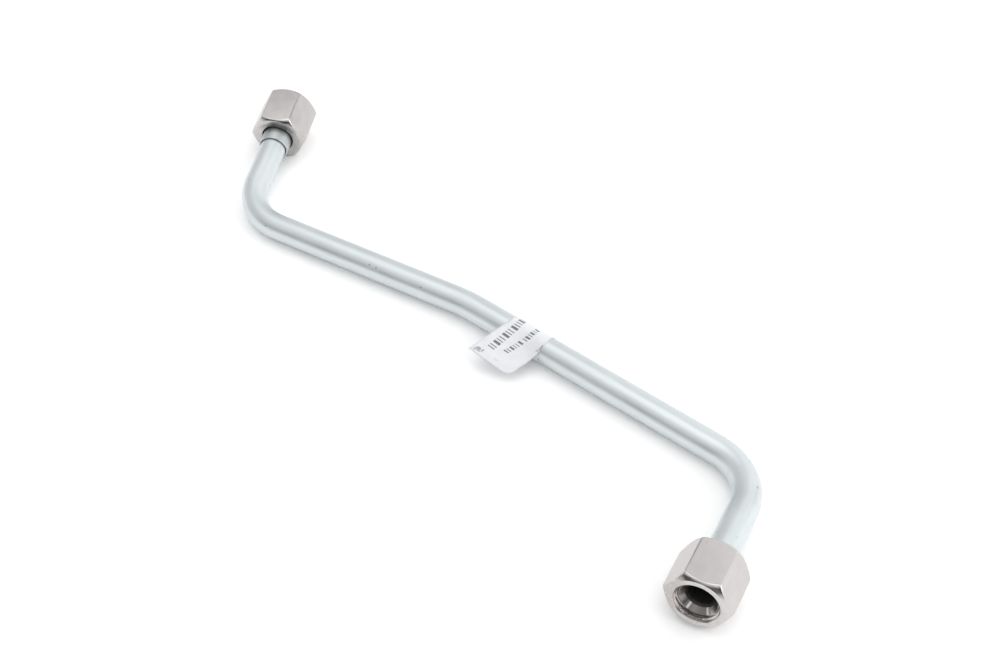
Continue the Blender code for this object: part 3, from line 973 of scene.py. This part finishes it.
def turned_material():
    """The nut's turned faces and chamfers: the same plating over fine rings from the lathe, darker and
    mottled towards one side, with a painted dark reflection on the top of the rear face.
    """
    made, inputs, n = finish_material("nickel_turned", 1.0)
    radius = n.radius()
    wide, high, deep = n.parts(n.place())
    rings_at = n.add("ShaderNodeCombineXYZ")
    n.feed(rings_at.inputs[0], radius)
    n.feed(rings_at.inputs[1], deep)
    rings = n.noise(rings_at.outputs[0], 7000, 2.0, 0.6)
    grain = n.noise(n.place(), 3000, 2.0)
    clouds = n.noise(n.place(), 420, 3.0, 0.6)
    colour = n.blend(n.fade(clouds, 0.32, 0.68), (0.55, 0.532, 0.524), (0.61, 0.591, 0.583))
    colour = n.blend(n.fade(rings, 0.45, 0.75, 0.0, 0.3), colour, (0.44, 0.42, 0.41))
    nicks = n.spots(n.place(), 800, (0.08, 0.2), (0.82, 0.9))
    colour = n.blend(n.times(nicks, 0.6), colour, (0.22, 0.2, 0.19))
    colour = add_marks(n, colour, n.fade(grain, 0.2, 0.8, 0.6, 1.4))
    # Darker mottling towards one side of the turned faces
    side_mottling = n.times(n.fade(wide, *MOTTLED_SIDE, 0.0, 0.75), n.fade(grain, 0.36, 0.56))
    colour = n.blend(side_mottling, colour, (0.38, 0.37, 0.35))
    # Painted reflection: a dark patch on the top of the rear face, next to the bore
    dark_reflection = n.times(n.fade(high, *REFLECTION_HEIGHT), n.fade(deep, *REFLECTION_DEPTH, 1.0, 0.0))
    dark_reflection = n.times(dark_reflection, n.fade(radius, *REFLECTION_RADIUS, 1.0, 0.0))
    dark_reflection = n.times(dark_reflection, n.mottled(clouds, 0.55, 0.85))
    colour = n.blend(dark_reflection, colour, (0.21, 0.205, 0.21))
    n.feed(inputs["Base Color"], colour)
    n.feed(inputs["Roughness"], n.mottled(clouds, 0.13, 0.2))
    height = n.plus(n.times(rings, 0.9), n.times(grain, 0.3))
    n.feed(inputs["Normal"], n.bump(n.minus(height, n.times(nicks, 4.0)), 0.004 * MM))
    return made


# Places on the thread's first turn with painted highlights, the edge of each, and the depth over which
# painted shade darkens the thread towards the inside
THREAD_GLINTS = (
    (3.87 * MM, -5.45 * MM, -0.64 * MM),
    (3.37 * MM, -6.1 * MM, -0.45 * MM),
    (-2.85 * MM, -6.07 * MM, -0.85 * MM),
)
THREAD_GLINT_EDGE = (0.2 * MM, 0.6 * MM)
SHADED_THREAD_DEPTH = (-4.5 * MM, -1.2 * MM)


def thread_material():
    """The nut's thread: cut metal, with painted shade in its grooves and deeper inside the nut, and a few
    painted highlights on its first turn.
    """
    made, inputs, n = finish_material("nickel_thread", 1.0)
    _, _, z = n.parts(n.place())
    cut = n.noise(n.place((1.0, 1.0, 4.0)), 1200, 3.0, 0.6)
    colour = n.blend(n.mottled(cut), (0.5, 0.455, 0.43), (0.68, 0.635, 0.61))
    # Painted shade: darker in the grooves of the thread
    colour = n.blend(n.fade(n.radius(), MINOR_RADIUS, MAJOR_RADIUS, 0.0, 0.55), colour, (0.2, 0.18, 0.17))
    # Painted shade: darker deeper inside the nut
    colour = n.blend(n.fade(z, *SHADED_THREAD_DEPTH, 0.9, 0.0), colour, (0.05, 0.047, 0.045))
    # Painted highlights: bright spots on the thread's first turn
    for glint in THREAD_GLINTS:
        away = n.uneven(n.vector("DISTANCE", n.place(), glint), cut, 0.5 * MM)
        colour = n.blend(n.fade(away, *THREAD_GLINT_EDGE, 0.9, 0.0), colour, (0.95, 0.94, 0.93))
    n.feed(inputs["Base Color"], colour)
    n.feed(inputs["Roughness"], n.mottled(cut, 0.18, 0.32))
    n.feed(inputs["Normal"], n.bump(cut, 0.012 * MM))
    return made


def rear_bore_material():
    """The nut's rear bore and its chamfer: the same cut metal, painted nearly black as the shade in the gap
    round the sleeve.
    """
    made, inputs, n = finish_material("nickel_rear_bore", 1.0)
    cut = n.noise(n.place((1.0, 1.0, 4.0)), 1500, 3.0, 0.6)
    # Painted shade: the colour is nearly black
    colour = n.blend(n.mottled(cut), (0.05, 0.048, 0.048), (0.12, 0.115, 0.112))
    n.feed(inputs["Base Color"], colour)
    n.feed(inputs["Roughness"], n.mottled(cut, 0.35, 0.5))
    n.feed(inputs["Normal"], n.bump(cut, 0.012 * MM))
    return made


# How far back from the flare's rim the painted shade on the sleeve, darkest on its part inside the nut,
# fades, and how far its edge wanders
SHADED_SLEEVE_LENGTH = (11.0 * MM, 13.6 * MM)
SHADE_WANDER = 3.0 * MM


def sleeve_material():
    """The sleeve: turned and zinc plated, glossier than the tube, with fine rings round it and painted shade
    on its part inside the nut.
    """
    made, inputs, n = finish_material("sleeve_zinc", 1.0)
    rings = n.noise(n.place((0.0, 0.0, 1.0)), 8000, 2.0, 0.6)
    grain = n.noise(n.place(), 2600, 2.0)
    clouds = n.noise(n.place(), 300, 3.0, 0.6)
    colour = n.blend(n.mottled(clouds), (0.5, 0.535, 0.54), (0.56, 0.595, 0.6))
    colour = n.blend(n.fade(rings, 0.45, 0.75, 0.0, 0.25), colour, (0.42, 0.44, 0.445))
    _, _, back = n.parts(n.place())
    # Painted shade: the sleeve is darker on its part inside the nut
    sleeve_shade = n.fade(n.uneven(back, clouds, SHADE_WANDER), *SHADED_SLEEVE_LENGTH, 0.6, 0.0)
    colour = n.blend(sleeve_shade, colour, (0.22, 0.235, 0.235))
    n.feed(inputs["Base Color"], colour)
    n.feed(inputs["Roughness"], n.mottled(clouds, 0.42, 0.5))
    height = n.plus(n.times(rings, 0.8), n.times(grain, 0.3))
    n.feed(inputs["Normal"], n.bump(height, 0.005 * MM))
    return made


def paper_material():
    """Coated white paper with two rows of plain dark bars, a few small marks and grey smudges."""
    made, inputs, n = finish_material("label_paper", 0.0)
    across, along, _ = n.parts(n.place())
    fibre = n.noise(n.place(), 5200, 3.0)
    clouds = n.noise(n.place(), 330, 3.0, 0.6)
    colour = n.blend(n.fade(clouds, 0.35, 0.7), (0.82, 0.835, 0.865), (0.785, 0.8, 0.825))
    ragged = n.times(n.minus(fibre, 0.5), 0.22 * MM)
    ink = 0.0
    for middle, slant, height, first, last, edges in PRINT_ROWS:
        line = n.math("MULTIPLY_ADD", along, slant, middle)
        off = n.plus(n.math("ABSOLUTE", n.minus(across, line)), ragged)
        inside = n.math("LESS_THAN", off, height / 2)
        share = n.math("DIVIDE", n.minus(n.plus(along, ragged), first), last - first)
        ink = n.math("MAXIMUM", ink, n.times(inside, n.bars(share, edges)))
    ink = n.times(ink, n.fade(fibre, 0.25, 0.75, 0.96, 0.72))
    colour = n.blend(ink, colour, (0.06, 0.06, 0.065))
    for aside, down, width, length, depth in SMUDGES:
        away = n.vector("LENGTH", n.place((1 / width, 1 / length, 1.0), (aside, down, 0.0)))
        soft = n.fade(n.times(away, n.mottled(clouds, 0.7, 1.3)), 0.4, 1.2, depth, 0.0)
        colour = n.blend(soft, colour, (0.3, 0.3, 0.32))
    n.feed(inputs["Base Color"], colour)
    n.feed(inputs["Roughness"], n.mottled(clouds, 0.42, 0.56))
    n.feed(inputs["Normal"], n.bump(fibre, 0.004 * MM))
    return made


def add_floor():
    """A plain white floor, seen a little lighter than it lights the part, which keeps the part's shadow."""
    bpy.ops.mesh.primitive_plane_add(size=FLOOR_SIZE, location=(0, 0, 0))
    floor = bpy.context.object
    floor.name = "floor"
    made = bpy.data.materials.new("floor")
    made.use_nodes = True
    n = Nodes(made.node_tree)
    path = n.add("ShaderNodeLightPath").outputs
    seen = n.math("MAXIMUM", path["Is Camera Ray"], path["Is Glossy Ray"])
    seen = n.math("MAXIMUM", seen, path["Is Transmission Ray"])
    paint = n.add("ShaderNodeBsdfDiffuse")
    n.feed(paint.inputs["Color"], n.blend(seen, FLOOR_LIT, FLOOR_SEEN))
    n.feed(made.node_tree.nodes["Material Output"].inputs["Surface"], paint.outputs[0])
    floor.data.materials.append(made)


def add_dark_side():
    """A low dark wall far behind the camera, which the metal mirrors as a dark band."""
    skin = bmesh.new()
    low, high = [], []
    for step in range(WALL_STEPS + 1):
        angle = math.radians(-90 - WALL_SPREAD + 2 * WALL_SPREAD * step / WALL_STEPS)
        spot = Vector((math.cos(angle), math.sin(angle), 0)) * WALL_DISTANCE
        low.append(skin.verts.new(spot + Vector((0, 0, WALL_FOOT))))
        high.append(skin.verts.new(spot + Vector((0, 0, WALL_HEIGHT))))
    for step in range(WALL_STEPS):
        skin.faces.new((low[step], low[step + 1], high[step + 1], high[step]))
    mesh = bpy.data.meshes.new("dark_side")
    skin.to_mesh(mesh)
    skin.free()
    wall = bpy.data.objects.new("dark_side", mesh)
    bpy.context.scene.collection.objects.link(wall)
    made = bpy.data.materials.new("dark_side")
    made.use_nodes = True
    n = Nodes(made.node_tree)
    dark = n.add("ShaderNodeBsdfDiffuse")
    dark.inputs["Color"].default_value = (*WALL_COLOUR, 1)
    clear = n.add("ShaderNodeBsdfTransparent")
    mix = n.add("ShaderNodeMixShader")
    height = n.parts(n.add("ShaderNodeTexCoord").outputs["Object"])[2]
    n.feed(mix.inputs[0], n.fade(height, WALL_FADE, WALL_HEIGHT))
    n.feed(mix.inputs[1], dark.outputs[0])
    n.feed(mix.inputs[2], clear.outputs[0])
    n.feed(made.node_tree.nodes["Material Output"].inputs["Surface"], mix.outputs[0])
    mesh.materials.append(made)
    wall.visible_camera = False


def add_camera():
    data = bpy.data.cameras.new("camera")
    data.lens = LENS
    data.sensor_width = SENSOR_WIDTH
    data.clip_start = NEAR_CLIP
    camera = bpy.data.objects.new("camera", data)
    camera.location = CAMERA_PLACE
    camera.rotation_euler = (math.pi / 2 - PITCH_DOWN, 0, YAW)
    bpy.context.scene.collection.objects.link(camera)
    bpy.context.scene.camera = camera


def add_light():
    """An even white studio with soft lights in it, which shows plain white to the camera."""
    world = bpy.data.worlds.new("studio")
    bpy.context.scene.world = world
    world.use_nodes = True
    n = Nodes(world.node_tree)
    way = n.add("ShaderNodeTexCoord").outputs["Generated"]
    light = ROOM_LIGHT
    for centre, inner, outer, strength in SOFT_LIGHTS:
        toward = n.vector("DOT_PRODUCT", way, centre.normalized())
        light = n.plus(light, n.fade(toward, math.cos(outer), math.cos(inner), 0.0, strength))
    background = world.node_tree.nodes["Background"]
    background.inputs["Color"].default_value = (1, 1, 1, 1)
    seen = n.add("ShaderNodeLightPath").outputs["Is Camera Ray"]
    n.feed(background.inputs["Strength"], n.math("MAXIMUM", light, seen))


def main():
    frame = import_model()
    points = centre_line(frame)
    sleeve_zinc = sleeve_material()
    nickel = [flats_material(), turned_material(), thread_material(), rear_bore_material()]
    tube = make_tube(points, [zinc_material(), flare_material(), bore_material()])
    pieces = [(tube, "tube", "tube", "zinc_plate")]
    for end, rim, corner, below in (
        ("far", points[0], points[1], RIM_BELOW_FAR_MOUTH),
        ("near", points[-1], points[-2], RIM_BELOW_NEAR_MOUTH),
    ):
        out = (rim - corner).normalized()
        sleeve = make_sleeve(end + "_turned_sleeve", rim, out, [sleeve_zinc])
        nut = make_nut(end + "_threaded_nut", rim + out * below, out, nickel)
        pieces.append((sleeve, end + "_sleeve", end + "_sleeve", "sleeve_zinc"))
        pieces.append((nut, end + "_nut", end + "_nut", "nickel_plate"))
    label = make_label(points[2], points[3], [paper_material()])
    pieces.append((label, "label", "tube", "label_paper"))
    for piece, node, body, slot in pieces:
        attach(piece, body)
        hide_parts(node)
    add_floor()
    add_dark_side()
    add_camera()
    add_light()
    bpy.context.scene.view_settings.view_transform = "Standard"


main()
